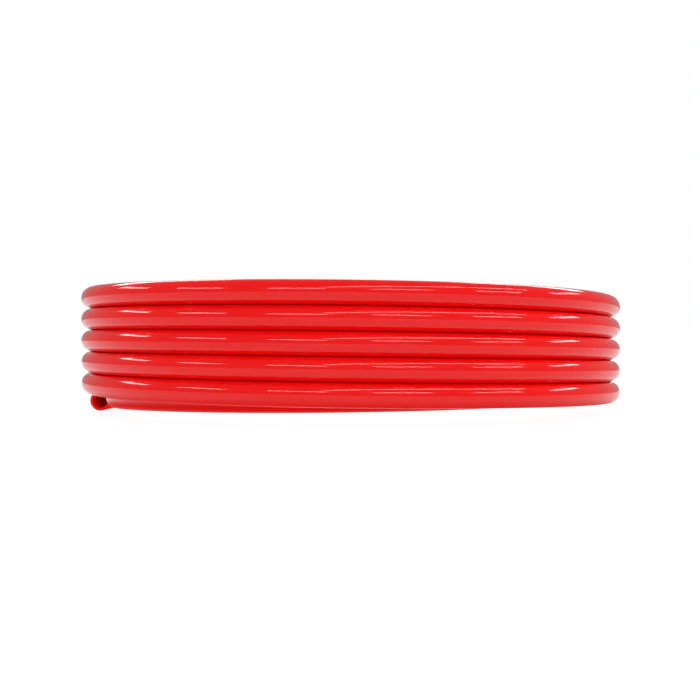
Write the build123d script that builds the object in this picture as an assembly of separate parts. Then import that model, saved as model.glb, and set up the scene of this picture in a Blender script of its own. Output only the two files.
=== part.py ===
"""Coiled air hose: one bare polyurethane tube, wound round in two layers and cut square at both ends.

The coil stands on Z = 0 about the Z axis, and -Y is its front. Angles are in degrees, measured
anticlockwise from +X as seen from above. The hose starts with a tail inside the coil, runs round
the inner layer going up, crosses to the top of the outer layer at the back, and comes down round
the outer layer to its free end at the left.
"""
import math
import os

from build123d import *

# Hose
TUBE_OD = 8.0
TUBE_ID = 6.0
HOSE_LENGTH = 5000.0

# Coil, measured to the tube's centre line
OUTER_RADIUS = 100.6
PITCH = 8.1  # from one turn to the next, up the coil and from layer to layer
OUTER_ROWS = 5  # whole turns above the bottom one
INNER_ROWS = 2
WEB = 5.0  # width that joins the turns of a coil's solid

# Where the hose changes from one stretch to the next
OUTER_END_ANGLE = 178.0
OUTER_TURNING = 1858.0
OUTER_GROUND_ANGLE = 0.0  # the outer layer's bottom turn reaches the ground here
CROSSOVER_TURNING = 120.0
INNER_RISE_ANGLE = 280.0  # the inner layer's bottom turn leaves the ground here

# Free ends
OUTER_END_LENGTH = 10.0
TAIL_RADIUS = 50.0
TAIL_TURNING = 115.0
INNER_END_LENGTH = 20.0

# Crossover
CROSSOVER_RADIUS = 90.4  # it keeps clear of the outer layer
CROSSOVER_STEP = 25.0
CROSSOVER_LEAD = 75.0  # turning on top of the inner layer, before it climbs
CROSSOVER_TOP = 44.6
RUN_SHARE = 0.45  # of a corner's shorter run that its arc takes

TUBE_RADIUS = TUBE_OD / 2
INNER_RADIUS = OUTER_RADIUS - PITCH
FIRST_ROW = TUBE_RADIUS + PITCH  # height of the lowest whole turn's centre line
CROSSOVER_REST = FIRST_ROW + INNER_ROWS * PITCH


def arc_length(radius, turning):
    """Length of a circular arc that turns through this angle."""
    return radius * math.radians(turning)


def around(radius, angle, height):
    """The point at this radius, angle and height about the coil's axis."""
    turned = math.radians(angle)
    return Vector(radius * math.cos(turned), radius * math.sin(turned), height)


def inner_start_angle():
    """Angle where the tail joins the inner layer, which makes up the hose's whole length."""
    outer = arc_length(OUTER_RADIUS, OUTER_TURNING)
    crossover = arc_length((INNER_RADIUS + OUTER_RADIUS) / 2, CROSSOVER_TURNING)
    tail = arc_length(TAIL_RADIUS, TAIL_TURNING) + INNER_END_LENGTH
    inner = HOSE_LENGTH - outer - crossover - tail
    turning = math.degrees(inner / INNER_RADIUS)
    crossover_start = OUTER_END_ANGLE - OUTER_TURNING - CROSSOVER_TURNING
    return (crossover_start - turning) % 360


def hose_section():
    """The hose's ring-shaped section."""
    return Circle(TUBE_RADIUS) - Circle(TUBE_ID / 2)


def coil_solid(radius, rows):
    """The outer shape of a layer of whole turns that lie on each other."""
    profile = Sketch()
    for row in range(rows):
        profile += Pos(radius, FIRST_ROW + row * PITCH) * Circle(TUBE_RADIUS)
    middle = FIRST_ROW + (rows - 1) * PITCH / 2
    profile += Pos(radius, middle) * Rectangle(WEB, (rows - 1) * PITCH)
    return revolve(Plane.XZ * profile, Axis.Z)


def ground_arc(radius, start, turning):
    """A hose that lies on the ground round an arc about the Z axis."""
    section = Plane.XZ * Pos(radius, TUBE_RADIUS) * hose_section()
    return Rot(0, 0, start) * revolve(section, Axis.Z, turning)


def straight_end(start, direction, length):
    """A straight stretch of hose that is cut square at its end."""
    return extrude(Plane(start, z_dir=direction) * hose_section(), length)


def outer_end():
    """The free end of the outer layer, which follows its bottom turn and faces the front."""
    angle = outer_straight_angle()
    start = around(OUTER_RADIUS, angle, TUBE_RADIUS)
    return straight_end(start, around(1, angle + 90, 0), OUTER_END_LENGTH)


def outer_straight_angle():
    """Angle where the outer layer's bottom turn runs into its straight end."""
    return OUTER_END_ANGLE - math.degrees(OUTER_END_LENGTH / OUTER_RADIUS)


def tail_centre():
    """Centre of the arc that takes the inner tail in from the inner layer."""
    return around(INNER_RADIUS - TAIL_RADIUS, inner_start_angle(), 0)


def inner_tail():
    """The arc on the ground that takes the hose from the inner layer towards the coil's middle."""
    start = inner_start_angle() - TAIL_TURNING
    return Pos(tail_centre()) * ground_arc(TAIL_RADIUS, start, TAIL_TURNING)


def inner_end():
    """The free end inside the coil."""
    angle = inner_start_angle() - TAIL_TURNING
    start = tail_centre() + around(TAIL_RADIUS, angle, TUBE_RADIUS)
    return straight_end(start, around(1, angle - 90, 0), INNER_END_LENGTH)


def crossover_points():
    """Corners of the stretch that climbs behind the outer layer, evenly spaced round the coil."""
    end = OUTER_END_ANGLE - OUTER_TURNING
    turning = CROSSOVER_LEAD + CROSSOVER_TURNING
    steps = round(turning / CROSSOVER_STEP)
    step = turning / steps
    start = end - turning
    corner_radius = CROSSOVER_RADIUS / math.cos(math.radians(step / 2))

    def height(turned):
        climbed = max(0.0, turned - CROSSOVER_LEAD) / CROSSOVER_TURNING
        eased = climbed * climbed * (3 - 2 * climbed)
        return CROSSOVER_REST + (CROSSOVER_TOP - CROSSOVER_REST) * eased

    points = [around(CROSSOVER_RADIUS, start, height(0))]
    for corner in range(steps):
        turned = (corner + 0.5) * step
        points.append(around(corner_radius, start + turned, height(turned)))
    points.append(around(CROSSOVER_RADIUS, end, height(turning)))
    return points


def corner_radii(points):
    """The largest arc that each corner's two runs allow."""
    radii = []
    for before, corner, after in zip(points, points[1:], points[2:]):
        arriving = corner - before
        leaving = after - corner
        half_turn = math.radians(arriving.get_angle(leaving) / 2)
        shorter = min(arriving.length, leaving.length)
        radii.append(RUN_SHARE * shorter / math.tan(half_turn))
    return radii


def crossover():
    """The hose from the top of the inner layer to the top of the outer one."""
    points = crossover_points()
    radii = corner_radii(points)
    path = FilletPolyline(*points, radius=radii)
    start = Plane(path @ 0, z_dir=path % 0)
    tube = sweep(start * hose_section(), path=path)
    print("crossover arc radii:", [round(radius, 1) for radius in radii])
    print("crossover tube volume over section times length:",
          round(tube.volume / (hose_section().area * path.length), 4))
    return tube


def parts():
    """Every stretch of the hose, by name."""
    inner_start = inner_start_angle()
    return {
        "outer_coil": coil_solid(OUTER_RADIUS, OUTER_ROWS),
        "outer_bottom_turn": ground_arc(
            OUTER_RADIUS, OUTER_GROUND_ANGLE, outer_straight_angle() - OUTER_GROUND_ANGLE),
        "outer_hose_end": outer_end(),
        "inner_coil": coil_solid(INNER_RADIUS, INNER_ROWS),
        "inner_bottom_turn": ground_arc(
            INNER_RADIUS, inner_start, INNER_RISE_ANGLE - inner_start),
        "inner_tail": inner_tail(),
        "inner_hose_end": inner_end(),
        "crossover": crossover(),
    }


os.makedirs("parts", exist_ok=True)
for name, solid in parts().items():
    export_step(solid, f"parts/{name}.step")
    print(name, "volume", round(solid.volume, 1), "mm3")
print("inner layer starts at", round(inner_start_angle(), 2), "degrees")
print("bottom arc radii:", OUTER_RADIUS, INNER_RADIUS, TAIL_RADIUS)
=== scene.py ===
"""A coiled air hose: one glossy red tube wound in two layers, standing on a pale floor."""
import math

import bpy
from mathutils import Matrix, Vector


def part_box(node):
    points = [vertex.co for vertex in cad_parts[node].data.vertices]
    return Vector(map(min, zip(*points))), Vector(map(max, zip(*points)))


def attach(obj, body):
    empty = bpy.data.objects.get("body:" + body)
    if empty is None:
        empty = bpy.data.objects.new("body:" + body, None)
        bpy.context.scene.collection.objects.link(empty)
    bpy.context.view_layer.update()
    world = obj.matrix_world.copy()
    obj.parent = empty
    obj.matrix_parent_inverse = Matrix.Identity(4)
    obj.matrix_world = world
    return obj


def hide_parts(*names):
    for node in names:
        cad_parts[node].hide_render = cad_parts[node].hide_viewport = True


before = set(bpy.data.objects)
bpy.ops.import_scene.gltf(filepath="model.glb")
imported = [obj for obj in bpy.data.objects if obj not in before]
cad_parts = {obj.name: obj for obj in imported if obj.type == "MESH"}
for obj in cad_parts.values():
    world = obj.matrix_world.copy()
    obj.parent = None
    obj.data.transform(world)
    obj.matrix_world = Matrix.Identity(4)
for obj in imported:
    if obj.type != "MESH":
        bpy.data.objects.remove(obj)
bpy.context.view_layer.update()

# ---------------------------------------------------------------- sizes, in metres and degrees

outer_low, outer_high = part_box("outer_coil")
end_low, end_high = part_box("outer_hose_end")
OUTER_ROWS = 5
TUBE_OD = end_high[2] - end_low[2]
BORE_SHARE = 0.75
TUBE_ID = TUBE_OD * BORE_SHARE
TUBE_RADIUS = TUBE_OD / 2
SKIN_GROWTH = 0.00006  # closes the gap between turns, so that they touch
SKIN_RADIUS = TUBE_RADIUS + SKIN_GROWTH
BORE_RADIUS = TUBE_ID / 2
PITCH = (outer_high[2] - outer_low[2] - TUBE_OD) / (OUTER_ROWS - 1)
OUTER_RADIUS = (outer_high[0] - outer_low[0]) / 2 - TUBE_RADIUS
INNER_RADIUS = OUTER_RADIUS - PITCH
HOSE_LENGTH = 5.0

# The route's angles are measured anticlockwise from +X as seen from above, and grow along the hose
OUTER_TURNING = 1858.0
CROSSOVER_TURNING = 120.0
INNER_GROUND_ANGLE = 82.0
TAIL_RADIUS = 0.050
TAIL_TURNING = 115.0
INNER_END_LENGTH = 0.020
POINTS_PER_TURN = 36
STEP = 360.0 / POINTS_PER_TURN
RING_SPACING = 0.004


# ---------------------------------------------------------------- route

def around(radius, angle, height):
    """The point at this radius, angle and height about the coil's axis."""
    turned = math.radians(angle)
    return Vector((radius * math.cos(turned), radius * math.sin(turned), height))


def eased(share):
    """0 to 1, starting and stopping gently."""
    share = min(max(share, 0.0), 1.0)
    return share * share * (3 - 2 * share)


def control_radius(radius):
    """Where a spline's points stand for its curve to run at this radius."""
    return radius / math.cos(math.radians(STEP / 2))


def inner_turning():
    """How far the hose turns in the inner layer, which makes up its whole length."""
    outer = OUTER_RADIUS * math.radians(OUTER_TURNING)
    crossover = (INNER_RADIUS + OUTER_RADIUS) / 2 * math.radians(CROSSOVER_TURNING)
    tail = TAIL_RADIUS * math.radians(TAIL_TURNING) + INNER_END_LENGTH
    return math.degrees((HOSE_LENGTH - outer - crossover - tail) / INNER_RADIUS)


# Whole turns are counted from the inner layer's first pass of +X
CROSSOVER_START = 1080.0
CROSSOVER_END = CROSSOVER_START + CROSSOVER_TURNING
HOSE_END = CROSSOVER_END + OUTER_TURNING
INNER_START = CROSSOVER_START - inner_turning()


def inner_height(angle):
    """The inner layer climbs by one turn's height on each round."""
    return TUBE_RADIUS + PITCH * (angle - INNER_GROUND_ANGLE) / 360


def outer_height(angle):
    """The outer layer comes down by one turn's height on each round, to the floor at its end."""
    return TUBE_RADIUS + PITCH * (HOSE_END - angle) / 360


def crossover_point(angle):
    """The climb beside the outer layer, then over its top turn, which lies one round on."""
    below = outer_height(angle + 360)
    rise = below - inner_height(CROSSOVER_START)
    quarter = PITCH * math.pi / 2
    along = eased((angle - CROSSOVER_START) / CROSSOVER_TURNING) * (rise + quarter)
    if along < rise:
        return INNER_RADIUS, below - rise + along
    rolled = (along - rise) / PITCH
    return OUTER_RADIUS - PITCH * math.cos(rolled), below + PITCH * math.sin(rolled)


def tail_points():
    """The end inside the coil, on the floor, and its bend to the inner layer."""
    centre = around(INNER_RADIUS - TAIL_RADIUS, INNER_START, 0)
    start = INNER_START - TAIL_TURNING
    joint = centre + around(TAIL_RADIUS, start, TUBE_RADIUS)
    mouth = joint + around(INNER_END_LENGTH, start - 90, 0)
    points = [mouth, joint]
    steps = round(TAIL_TURNING / STEP)
    for number in range(steps):
        share = (number + 0.5) / steps
        height = TUBE_RADIUS + (inner_height(INNER_START) - TUBE_RADIUS) * eased(share)
        bend = around(control_radius(TAIL_RADIUS), start + share * TAIL_TURNING, height)
        points.append(centre + bend)
    return points


def wound_points():
    """Both layers and the crossover between them, to the free end at the left."""
    points = []
    steps = round((HOSE_END - INNER_START) / STEP)
    step = (HOSE_END - INNER_START) / steps
    for number in range(steps):
        angle = INNER_START + (number + 0.5) * step
        if angle < CROSSOVER_START:
            radius, height = INNER_RADIUS, inner_height(angle)
        elif angle < CROSSOVER_END:
            radius, height = crossover_point(angle)
        else:
            radius, height = OUTER_RADIUS, outer_height(angle)
        points.append(around(control_radius(radius), angle, height))
    points.append(around(OUTER_RADIUS, HOSE_END, outer_height(HOSE_END)))
    return points


def spline_line(name, points, spacing):
    """Points along the smooth NURBS curve that these control points guide."""
    curve = bpy.data.curves.new(name, "CURVE")
    curve.dimensions = "3D"
    spline = curve.splines.new("NURBS")
    spline.points.add(len(points) - 1)
    for slot, point in zip(spline.points, points):
        slot.co = (*point, 1.0)
    spline.order_u = 3
    spline.use_endpoint_u = True
    run = (points[5] - points[4]).length
    curve.resolution_u = max(2, round(run / spacing))
    guide = bpy.data.objects.new(name, curve)
    mesh = bpy.data.meshes.new_from_object(guide)
    line = [vertex.co.copy() for vertex in mesh.vertices]
    bpy.data.meshes.remove(mesh)
    bpy.data.objects.remove(guide)
    bpy.data.curves.remove(curve)
    return line


# ---------------------------------------------------------------- camera

def make_camera(distance, lens, height, side):
    """A level camera in front of the coil."""
    camera = bpy.data.objects.new("camera", bpy.data.cameras.new("camera"))
    camera.data.lens = lens
    camera.data.clip_start = 0.01
    camera.data.clip_end = 100
    camera.location = (side, -distance, height)
    camera.rotation_euler = (math.radians(90), 0, 0)
    bpy.context.scene.collection.objects.link(camera)
    bpy.context.scene.camera = camera


# ---------------------------------------------------------------- hose mesh

AROUND = 40
CHAMFER = 0.00012
OUTSIDE, INSIDE, CUT = range(3)


def frames_along(line):
    """At each point: the place, the directions sideways, up and ahead, and the length so far."""
    rows = []
    length = 0.0
    for number, point in enumerate(line):
        before = line[max(number - 1, 0)]
        after = line[min(number + 1, len(line) - 1)]
        ahead = (after - before).normalized()
        side = ahead.cross(Vector((0, 0, 1))).normalized()
        up = side.cross(ahead)
        if number:
            length += (point - line[number - 1]).length
        rows.append((point, side, up, ahead, length))
    return rows


def end_rows(rows):
    """The rows again, with one more close to each end for the chamfer to start from."""
    first, last = rows[0], rows[-1]
    near_first = (first[0] + first[3] * CHAMFER, *first[1:4], CHAMFER)
    near_last = (last[0] - last[3] * CHAMFER, *last[1:4], last[4] - CHAMFER)
    return [near_first, *rows[1:-1], near_last]


def add_ring(made, row, radius, shift=0.0):
    """A ring of vertices, with where each would be on the hose laid out straight."""
    place, side, up, ahead, length = row
    start = len(made["points"])
    for number in range(AROUND):
        turned = 2 * math.pi * number / AROUND
        across, high = radius * math.cos(turned), radius * math.sin(turned)
        made["points"].append(place + side * across + up * high + ahead * shift)
        made["straight"].append((across, high, length + shift))
    return start


def join_rings(made, first, second, zone):
    """A band of faces between two rings."""
    for number in range(AROUND):
        beside = (number + 1) % AROUND
        made["faces"].append((first + number, first + beside, second + beside, second + number))
        made["zones"].append(zone)


def hose_mesh(name, line):
    """A tube with a wall, open at both ends, with the edges of its cuts just broken."""
    made = {"points": [], "straight": [], "faces": [], "zones": []}
    rows = end_rows(frames_along(line))
    outside = [add_ring(made, row, SKIN_RADIUS) for row in rows]
    inside = [add_ring(made, row, BORE_RADIUS) for row in rows]
    for here, there in zip(outside, outside[1:]):
        join_rings(made, there, here, OUTSIDE)
    for here, there in zip(inside, inside[1:]):
        join_rings(made, here, there, INSIDE)
    for end, shift in ((0, -CHAMFER), (-1, CHAMFER)):
        rim = add_ring(made, rows[end], SKIN_RADIUS - CHAMFER, shift)
        lip = add_ring(made, rows[end], BORE_RADIUS + CHAMFER, shift)
        chain = [outside[end], rim, lip, inside[end]]
        if end:
            chain.reverse()
        for here, there in zip(chain, chain[1:]):
            join_rings(made, here, there, CUT)
    mesh = bpy.data.meshes.new(name)
    mesh.from_pydata(made["points"], [], made["faces"])
    mesh.polygons.foreach_set("material_index", made["zones"])
    smooth = [zone != CUT for zone in made["zones"]]
    mesh.polygons.foreach_set("use_smooth", smooth)
    straight = mesh.attributes.new("straight", "FLOAT_VECTOR", "POINT")
    straight.data.foreach_set("vector", [x for point in made["straight"] for x in point])
    mesh.update()
    return mesh


# ---------------------------------------------------------------- materials

RED = (0.95, 0.0042, 0.0040)
DEEP_RED = (0.92, 0.0032, 0.0034)
FRESH_CUT_RED = (0.95, 0.022, 0.018)
IOR = 1.45
TRANSLUCENCY = 0.5
SOAK_DEPTH = 0.0012
SOAK_SHARES = (1.0, 0.25, 0.2)  # how deep red, green and blue go

# Noise scales per metre, across the hose twice and along it
WALL_LINES = (2600, 2600, 9)
WALL_CLOUD = (180, 180, 22)
BORE_LINES = (1900, 1900, 12)
CUT_MARKS = (9000, 500, 500)
CUT_MARKS_ANGLE = 24

# Relief heights, in metres, and roughness from and to
LINE_RELIEF, CLOUD_RELIEF, CUT_RELIEF = 0.0000003, 0.0000025, 0.00001
WALL_ROUGHNESS = (0.02, 0.05)
BORE_ROUGHNESS = (0.16, 0.3)
CUT_ROUGHNESS = (0.35, 0.6)
NOISE_LOW, NOISE_HIGH = 0.35, 0.65


def new_material(name):
    """A material with one Principled shader, and its node tree."""
    material = bpy.data.materials.new(name)
    material.use_nodes = True
    nodes = material.node_tree.nodes
    shader = nodes["Principled BSDF"]
    shader.inputs["IOR"].default_value = IOR
    shader.inputs["Subsurface Weight"].default_value = TRANSLUCENCY
    shader.inputs["Subsurface Radius"].default_value = SOAK_SHARES
    shader.inputs["Subsurface Scale"].default_value = SOAK_DEPTH
    return material, nodes, material.node_tree.links, shader


def straight_noise(nodes, links, scale, detail=2.0, offset=(0, 0, 0), turn=0.0):
    """Noise on the hose laid out straight, moved by this much and turned about its length."""
    place = nodes.new("ShaderNodeAttribute")
    place.attribute_name = "straight"
    stretch = nodes.new("ShaderNodeMapping")
    stretch.inputs["Location"].default_value = offset
    stretch.inputs["Rotation"].default_value = (0, 0, math.radians(turn))
    stretch.inputs["Scale"].default_value = scale
    noise = nodes.new("ShaderNodeTexNoise")
    noise.inputs["Scale"].default_value = 1.0
    noise.inputs["Detail"].default_value = detail
    links.new(place.outputs["Vector"], stretch.inputs["Vector"])
    links.new(stretch.outputs["Vector"], noise.inputs["Vector"])
    return noise.outputs["Fac"]


def ranged(nodes, links, value, low, high):
    """The noise's middle spread over this range."""
    spread = nodes.new("ShaderNodeMapRange")
    spread.inputs["From Min"].default_value = NOISE_LOW
    spread.inputs["From Max"].default_value = NOISE_HIGH
    spread.inputs["To Min"].default_value = low
    spread.inputs["To Max"].default_value = high
    links.new(value, spread.inputs["Value"])
    return spread.outputs["Result"]


def mixed_colour(nodes, links, value, first, second):
    """From the first colour to the second as the value goes from 0 to 1."""
    mix = nodes.new("ShaderNodeMix")
    mix.data_type = "RGBA"
    mix.inputs["A"].default_value = (*first, 1)
    mix.inputs["B"].default_value = (*second, 1)
    links.new(value, mix.inputs["Factor"])
    return mix.outputs["Result"]


def bump(nodes, links, value, height, normal=None):
    """A relief of this height, in metres, on top of another relief if one is given."""
    relief = nodes.new("ShaderNodeBump")
    relief.inputs["Strength"].default_value = 1.0
    relief.inputs["Distance"].default_value = height
    links.new(value, relief.inputs["Height"])
    if normal:
        links.new(normal, relief.inputs["Normal"])
    return relief.outputs["Normal"]


def wall_material():
    """Glossy extruded polyurethane: fine lines along the hose, and a slow wave in its surface."""
    material, nodes, links, shader = new_material("glossy_red_polyurethane")
    lines = straight_noise(nodes, links, WALL_LINES, detail=3)
    cloud = straight_noise(nodes, links, WALL_CLOUD, offset=(3, 1, 7))
    tint = ranged(nodes, links, cloud, 0, 1)
    links.new(mixed_colour(nodes, links, tint, RED, DEEP_RED), shader.inputs["Base Color"])
    links.new(ranged(nodes, links, lines, *WALL_ROUGHNESS), shader.inputs["Roughness"])
    normal = bump(nodes, links, lines, LINE_RELIEF)
    normal = bump(nodes, links, cloud, CLOUD_RELIEF, normal)
    links.new(normal, shader.inputs["Normal"])
    return material


def bore_material():
    """The bore, smooth and a little duller than the outside."""
    material, nodes, links, shader = new_material("bore_red_polyurethane")
    lines = straight_noise(nodes, links, BORE_LINES, offset=(5, 2, 0))
    tint = ranged(nodes, links, lines, 0, 1)
    links.new(mixed_colour(nodes, links, tint, RED, DEEP_RED), shader.inputs["Base Color"])
    links.new(ranged(nodes, links, lines, *BORE_ROUGHNESS), shader.inputs["Roughness"])
    return material


def cut_material():
    """The cut face of the wall, matt, with the blade's fine marks across it."""
    material, nodes, links, shader = new_material("cut_red_polyurethane")
    marks = straight_noise(nodes, links, CUT_MARKS, turn=CUT_MARKS_ANGLE)
    tint = ranged(nodes, links, marks, 0, 1)
    links.new(mixed_colour(nodes, links, tint, FRESH_CUT_RED, RED), shader.inputs["Base Color"])
    links.new(ranged(nodes, links, marks, *CUT_ROUGHNESS), shader.inputs["Roughness"])
    links.new(bump(nodes, links, marks, CUT_RELIEF), shader.inputs["Normal"])
    return material


# ---------------------------------------------------------------- light and floor

# Distances and sizes in metres, angles in degrees, the rest as brightness
LAMP_DISTANCE = 12.0
LAMP_GLOW = 8.0
CEILING_SIZE, CEILING_GLOW = 60.0, 0.22
SEEN_WHITE = 1.0
ROOM_LOW, ROOM_HIGH = 0.34, 0.24
TABLE_WHITE, TABLE_GLOW = 0.22, 0.90
OPEN_GLOW = (0.88, 0.88, 0.88)
# Beneath the coil the floor's glow holds a painted shadow, tinted red as painted bounce light from the
# hose
PAINTED_SHADOW_RED = (0.72, 0.09, 0.09)
PAINTED_SHADOW_MIDDLE = (OUTER_RADIUS + INNER_RADIUS) / 2
PAINTED_SHADOW_REACH = 0.018

# Equal soft boxes, evenly spaced round the coil. Azimuths are from the front, anticlockwise as
# seen from above.
BOX_COUNT = 8
BOX_ELEVATION, BOX_LENGTH, BOX_THICKNESS, BOX_BRIGHTNESS = 30, 22, 5, 1.0
BOX_START = 22.5

# One long straight tube lamp overhead, which faces the coil from here
TUBE_AZIMUTH, TUBE_ELEVATION, TUBE_THICKNESS, TUBE_BRIGHTNESS = 45, 60, 5, 0.9
TUBE_LENGTH = 18.0


def away_to(azimuth, elevation):
    """The direction from the coil at this azimuth and elevation."""
    across, up = math.radians(azimuth), math.radians(elevation)
    return Vector((math.sin(across) * math.cos(up), -math.cos(across) * math.cos(up), math.sin(up)))


def add_lamp(name, direction, size, glow):
    """A rectangular lamp that faces the coil."""
    lamp = bpy.data.lights.new(name, "AREA")
    lamp.shape = "RECTANGLE"
    lamp.size, lamp.size_y = size
    lamp.energy = glow * math.pi * size[0] * size[1]
    holder = bpy.data.objects.new(name, lamp)
    bpy.context.scene.collection.objects.link(holder)
    away = away_to(*direction)
    holder.rotation_euler = away.to_track_quat("Z", "Y").to_euler()
    holder.location = away * LAMP_DISTANCE
    return holder


def span(angle):
    """How wide a lamp is at the lamps' distance to cover this angle."""
    return 2 * LAMP_DISTANCE * math.tan(math.radians(angle) / 2)


def add_lamps():
    """The studio's soft boxes, all round, and its tube lamp overhead."""
    for number in range(BOX_COUNT):
        azimuth = BOX_START + 360 * number / BOX_COUNT
        size = span(BOX_LENGTH), span(BOX_THICKNESS)
        add_lamp(f"soft_box_{number}", (azimuth, BOX_ELEVATION), size, LAMP_GLOW * BOX_BRIGHTNESS)
    size = TUBE_LENGTH, span(TUBE_THICKNESS)
    add_lamp("tube_lamp", (TUBE_AZIMUTH, TUBE_ELEVATION), size, LAMP_GLOW * TUBE_BRIGHTNESS)


def add_ceiling():
    """A wide soft light from above, which the gloss doesn't mirror."""
    size = CEILING_SIZE, CEILING_SIZE
    add_lamp("ceiling_light", (0, 90), size, CEILING_GLOW).visible_glossy = False


def seen_only(nodes, links, lit, seen, output):
    """Lights and mirrors with the first shader, and shows the camera the second."""
    path = nodes.new("ShaderNodeLightPath")
    mix = nodes.new("ShaderNodeMixShader")
    links.new(path.outputs["Is Camera Ray"], mix.inputs[0])
    links.new(lit, mix.inputs[1])
    links.new(seen, mix.inputs[2])
    links.new(mix.outputs[0], output)


def make_world():
    """A dim grey room, darker overhead, to light and mirror, and a white one to see."""
    world = bpy.data.worlds.new("studio")
    world.use_nodes = True
    nodes, links = world.node_tree.nodes, world.node_tree.links
    room = nodes["Background"]
    place = nodes.new("ShaderNodeTexCoord")
    parts = nodes.new("ShaderNodeSeparateXYZ")
    shade = nodes.new("ShaderNodeMapRange")
    shade.inputs["To Min"].default_value = ROOM_LOW
    shade.inputs["To Max"].default_value = ROOM_HIGH
    links.new(place.outputs["Generated"], parts.inputs[0])
    links.new(parts.outputs["Z"], shade.inputs["Value"])
    links.new(shade.outputs["Result"], room.inputs["Strength"])
    room.inputs["Color"].default_value = (1, 1, 1, 1)
    seen = nodes.new("ShaderNodeBackground")
    seen.inputs["Color"].default_value = (SEEN_WHITE, SEEN_WHITE, SEEN_WHITE, 1)
    seen_only(nodes, links, room.outputs[0], seen.outputs[0], nodes["World Output"].inputs["Surface"])
    bpy.context.scene.world = world
    bpy.context.scene.view_settings.view_transform = "Standard"


def floor_glow(nodes, links):
    """What the floor lights and mirrors with: a pale glow, and in a ring beneath the coil a painted
    shadow, red as painted bounce light from the hose.
    """
    place = nodes.new("ShaderNodeNewGeometry")
    flat = nodes.new("ShaderNodeVectorMath")
    flat.operation = "MULTIPLY"
    flat.inputs[1].default_value = (1, 1, 0)
    radius = nodes.new("ShaderNodeVectorMath")
    radius.operation = "LENGTH"
    beside = nodes.new("ShaderNodeMath")
    beside.operation = "SUBTRACT"
    beside.inputs[1].default_value = PAINTED_SHADOW_MIDDLE
    distance = nodes.new("ShaderNodeMath")
    distance.operation = "ABSOLUTE"
    fade = nodes.new("ShaderNodeMapRange")
    fade.interpolation_type = "SMOOTHSTEP"
    fade.inputs["From Max"].default_value = PAINTED_SHADOW_REACH
    glow = nodes.new("ShaderNodeEmission")
    links.new(place.outputs["Position"], flat.inputs[0])
    links.new(flat.outputs[0], radius.inputs[0])
    links.new(radius.outputs["Value"], beside.inputs[0])
    links.new(beside.outputs[0], distance.inputs[0])
    links.new(distance.outputs[0], fade.inputs["Value"])
    # Painted shadow and red painted bounce light in a ring beneath the coil, pale glow outside it
    colour = mixed_colour(nodes, links, fade.outputs["Result"], PAINTED_SHADOW_RED, OPEN_GLOW)
    links.new(colour, glow.inputs["Color"])
    return glow.outputs[0]


def make_floor(size):
    """A wide plain pale floor, which shows shadows only faintly, as a light table does."""
    mesh = bpy.data.meshes.new("floor")
    corners = [(-size, -size, 0), (size, -size, 0), (size, size, 0), (-size, size, 0)]
    mesh.from_pydata(corners, [], [(0, 1, 2, 3)])
    floor = bpy.data.objects.new("floor", mesh)
    bpy.context.scene.collection.objects.link(floor)
    material = bpy.data.materials.new("pale_floor")
    material.use_nodes = True
    nodes, links = material.node_tree.nodes, material.node_tree.links
    table = nodes["Principled BSDF"]
    table.inputs["Base Color"].default_value = (TABLE_WHITE, TABLE_WHITE, TABLE_WHITE, 1)
    table.inputs["Roughness"].default_value = 1.0
    table.inputs["Specular IOR Level"].default_value = 0.0
    table.inputs["Emission Color"].default_value = (1, 1, 1, 1)
    table.inputs["Emission Strength"].default_value = TABLE_GLOW
    seen_only(nodes, links, floor_glow(nodes, links), table.outputs[0],
              nodes["Material Output"].inputs["Surface"])
    mesh.materials.append(material)


# ---------------------------------------------------------------- scene

make_camera(distance=0.477, lens=61.6, height=0.0243, side=-0.00025)
line = spline_line("hose_guide", tail_points() + wound_points(), RING_SPACING)
hose = bpy.data.objects.new("air_hose", hose_mesh("air_hose", line))
bpy.context.scene.collection.objects.link(hose)
for material in (wall_material(), bore_material(), cut_material()):
    hose.data.materials.append(material)

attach(hose, "root")
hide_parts("outer_coil", "outer_bottom_turn", "outer_hose_end", "inner_coil",
            "inner_bottom_turn", "inner_tail", "inner_hose_end", "crossover")

make_world()
make_floor(size=20)
add_lamps()
add_ceiling()
